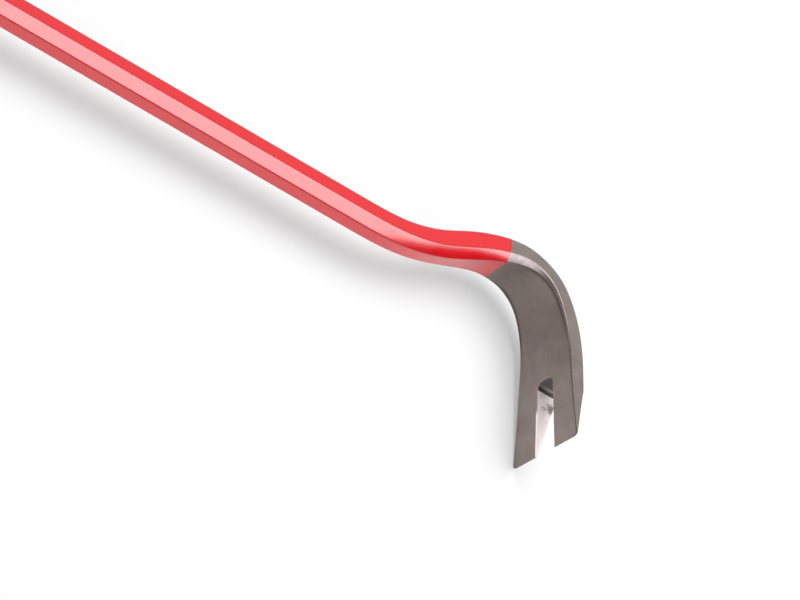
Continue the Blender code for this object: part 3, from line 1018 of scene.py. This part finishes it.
# %% Place the pieces and measure them
SHARP_ANGLE = math.radians(30.0)


def own_box(obj):
    points = [v.co for v in obj.data.vertices]
    return [Vector([pick(p[k] for p in points) for k in range(3)]) for pick in (min, max)]


bar_low, bar_high = own_box(bar)
packed_low, packed_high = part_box("forged_bar")
move = (packed_low + packed_high) / 2 - (bar_low + bar_high) / 2
move.y = packed_low.y - bar_low.y
to_frame = Matrix.Translation(move)
for piece in (bar, film):
    piece.data.transform(to_frame)
    piece.data.shade_smooth()
    piece.data.set_sharp_from_angle(angle=SHARP_ANGLE)


def farthest_apart(obj, node):
    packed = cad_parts[node].data
    tree = BVHTree.FromPolygons([v.co for v in packed.vertices], [p.vertices[:] for p in packed.polygons])
    return max(tree.find_nearest(v.co)[3] for v in obj.data.vertices)


for piece, node in ((bar, "forged_bar"), (film, "paint_coat")):
    print(piece.name, "is at most", round(1000 * farthest_apart(piece, node), 3), "mm from", node)

# %% [markdown]
# ## Handing the pieces over
# Each piece takes the place of a packed one and rides on the tool's only body.

# %% Hand the pieces to the frame
for piece, node, finish in ((bar, "forged_bar", "bare_steel"), (film, "paint_coat", "red_enamel")):
    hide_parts(node)
    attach(piece, "root")

# %% [markdown]
# ## The studio
# The tool lies on a light table: a pale floor that glows a little of its own, so it stays white and its
# shadows stay soft. It is far larger than the tool, so no edge of it comes into view.

# %% Floor
FLOOR_SIZE = 30.0
FLOOR_DROP = 0.0002
FLOOR_WHITE = (0.575, 0.560, 0.560, 1)
FLOOR_GLOW = (0.275, 0.292, 0.294, 1)


def make_floor():
    bm = bmesh.new()
    bmesh.ops.create_grid(bm, x_segments=1, y_segments=1, size=FLOOR_SIZE / 2)
    bmesh.ops.translate(bm, verts=bm.verts, vec=(0, 0, cad_low.z - FLOOR_DROP))
    material, tree, shader = new_material("light_table")
    shader.inputs["Base Color"].default_value = FLOOR_WHITE
    shader.inputs["Roughness"].default_value = 0.9
    shader.inputs["Specular IOR Level"].default_value = 0.0
    shader.inputs["Emission Color"].default_value = FLOOR_GLOW
    shader.inputs["Emission Strength"].default_value = 1.0
    return object_from("studio_floor", bm, [material])


floor = make_floor()

# %% [markdown]
# ## Soft boxes
# One large box hangs overhead, and a weaker one fills the near side. The larger a box is for its distance,
# the softer its shadow. Neither shows in the gloss, which is left to the cards.

# %% Soft boxes
TARGET = Vector((0.15, 0.0, cad_high.z / 2))
Box = namedtuple("Box", "name direction distance size power")
BOXES = (
    Box("overhead_box", (0.21, 0.34, 0.92), 2.0, 1.9, 40.0),
    Box("fill_box", (-0.15, -0.85, 0.50), 2.5, 1.5, 14.0),
)


def hang_box(box):
    """A square soft box that lights the tool but doesn't show in its gloss."""
    light = bpy.data.lights.new(box.name, "AREA")
    light.shape = "SQUARE"
    light.size = box.size
    light.energy = box.power
    lamp = bpy.data.objects.new(box.name, light)
    bpy.context.scene.collection.objects.link(lamp)
    towards = Vector(box.direction).normalized()
    lamp.location = TARGET + towards * box.distance
    lamp.rotation_euler = towards.to_track_quat("Z", "Y").to_euler()
    lamp.visible_camera = lamp.visible_glossy = False


for box in BOXES:
    hang_box(box)
print("boxes:", [box.name for box in BOXES])

# %% [markdown]
# ## Reflection cards
# Gloss shows whatever surrounds it, so the surroundings are part of the finish. A bright card in front puts
# the long highlight on the shank's chamfer, and it fades towards its lower edge. A black card under it lets
# the neck's chamfer go deep red, and a dimmer one behind gives the far side a sheen. The cards show in
# reflections only: they don't light the floor and they cast no shadow.

# %% Reflection cards
CARD_DISTANCE = 6.0
CARD_UV = "card"
Card = namedtuple("Card", "name azimuth elevation width height brightness side_fade low_fade high_fade")
CARDS = (
    Card("front_card", -41.0, 46.5, 7.6, 4.6, 6.3, 0.30, 0.24, 0.15),
    Card("gap_card", -12.0, 12.0, 6.6, 3.0, 0.0, 0.04, 0.02, 0.12),
    Card("rear_card", 136.0, 42.0, 6.0, 4.0, 1.5, 0.2, 0.2, 0.2),
)


def card_material(card):
    """Light that fades towards the card's edges, where the card itself lets the surroundings through."""
    material = bpy.data.materials.new(card.name)
    material.use_nodes = True
    tree = material.node_tree
    tree.nodes.remove(tree.nodes["Principled BSDF"])
    axes = uv_axes(tree, CARD_UV)
    sideways = stretch_of(tree, axes[0], (0.0, card.side_fade), (1.0 - card.side_fade, 1.0))
    upwards = stretch_of(tree, axes[1], (0.0, card.low_fade), (1.0 - card.high_fade, 1.0))
    cover = times(tree, sideways, upwards)
    glow = place_node(tree, "ShaderNodeEmission", {"Color": (1, 1, 1, 1), "Strength": card.brightness})
    clear = place_node(tree, "ShaderNodeBsdfTransparent")
    blend = place_node(tree, "ShaderNodeMixShader", {0: cover, 1: clear.outputs[0], 2: glow.outputs[0]})
    tree.links.new(blend.outputs[0], tree.nodes["Material Output"].inputs["Surface"])
    return material


def make_card(card):
    azimuth, elevation = math.radians(card.azimuth), math.radians(card.elevation)
    level = math.cos(elevation)
    towards = Vector((level * math.cos(azimuth), level * math.sin(azimuth), math.sin(elevation)))
    side = Vector((0, 0, 1)).cross(towards).normalized()
    rise = towards.cross(side)
    centre = TARGET + towards * CARD_DISTANCE
    bm = bmesh.new()
    bmesh.ops.create_grid(bm, x_segments=1, y_segments=1, size=0.5)
    uv = bm.loops.layers.uv.new(CARD_UV)
    for face in bm.faces:
        for loop in face.loops:
            loop[uv].uv = (loop.vert.co.x + 0.5, loop.vert.co.y + 0.5)
    for vert in bm.verts:
        vert.co = centre + side * vert.co.x * card.width + rise * vert.co.y * card.height
    made = object_from(card.name, bm, [card_material(card)])
    made.visible_camera = made.visible_diffuse = made.visible_shadow = False


for card in CARDS:
    make_card(card)
print("cards:", [card.name for card in CARDS])

# %% [markdown]
# ## Surroundings
# The rest of the room is an even grey, which fills the shadows and shows in the flats that face no card.

# %% Surroundings
SURROUND_BRIGHTNESS = 0.54


def make_surroundings():
    world = bpy.data.worlds.new("studio")
    world.use_nodes = True
    background = world.node_tree.nodes["Background"].inputs
    background["Color"].default_value = (1, 1, 1, 1)
    background["Strength"].default_value = SURROUND_BRIGHTNESS
    bpy.context.scene.world = world


make_surroundings()

# %% [markdown]
# ## The camera
# A long lens from far away, looking down at the hook, with the bar running off to the upper left.

# %% Camera
CAMERA_AIM = Vector((0.25, 0.0, 0.023137))
CAMERA_DISTANCE = 12.0
CAMERA_AZIMUTH, CAMERA_ELEVATION, CAMERA_ROLL = -2.359735, 0.629721, 1.059874
CAMERA_LEFT, CAMERA_UP = 0.048659, 0.017099
FRAME_WIDTHS_PER_METRE = 2.4182975
SENSOR = 36.0
NEAREST_SEEN, FARTHEST_SEEN = 0.1, 100.0


def make_camera():
    camera = bpy.data.cameras.new("camera")
    camera.sensor_width = SENSOR
    camera.lens = SENSOR * CAMERA_DISTANCE * FRAME_WIDTHS_PER_METRE
    camera.clip_start, camera.clip_end = NEAREST_SEEN, FARTHEST_SEEN
    level = math.cos(CAMERA_ELEVATION)
    ahead, aside = level * math.cos(CAMERA_AZIMUTH), level * math.sin(CAMERA_AZIMUTH)
    back = Vector((ahead, aside, math.sin(CAMERA_ELEVATION)))
    level_right = Vector((0, 0, 1)).cross(back).normalized()
    level_up = back.cross(level_right)
    right = math.cos(CAMERA_ROLL) * level_right + math.sin(CAMERA_ROLL) * level_up
    up = back.cross(right)
    holder = bpy.data.objects.new("camera", camera)
    place = CAMERA_AIM + back * CAMERA_DISTANCE - right * CAMERA_LEFT + up * CAMERA_UP
    holder.matrix_world = Matrix.Translation(place) @ Matrix((right, up, back)).transposed().to_4x4()
    bpy.context.scene.collection.objects.link(holder)
    bpy.context.scene.camera = holder
    return holder


camera = make_camera()
bpy.context.scene.view_settings.view_transform = "Standard"
print("lens, mm:", round(camera.data.lens))
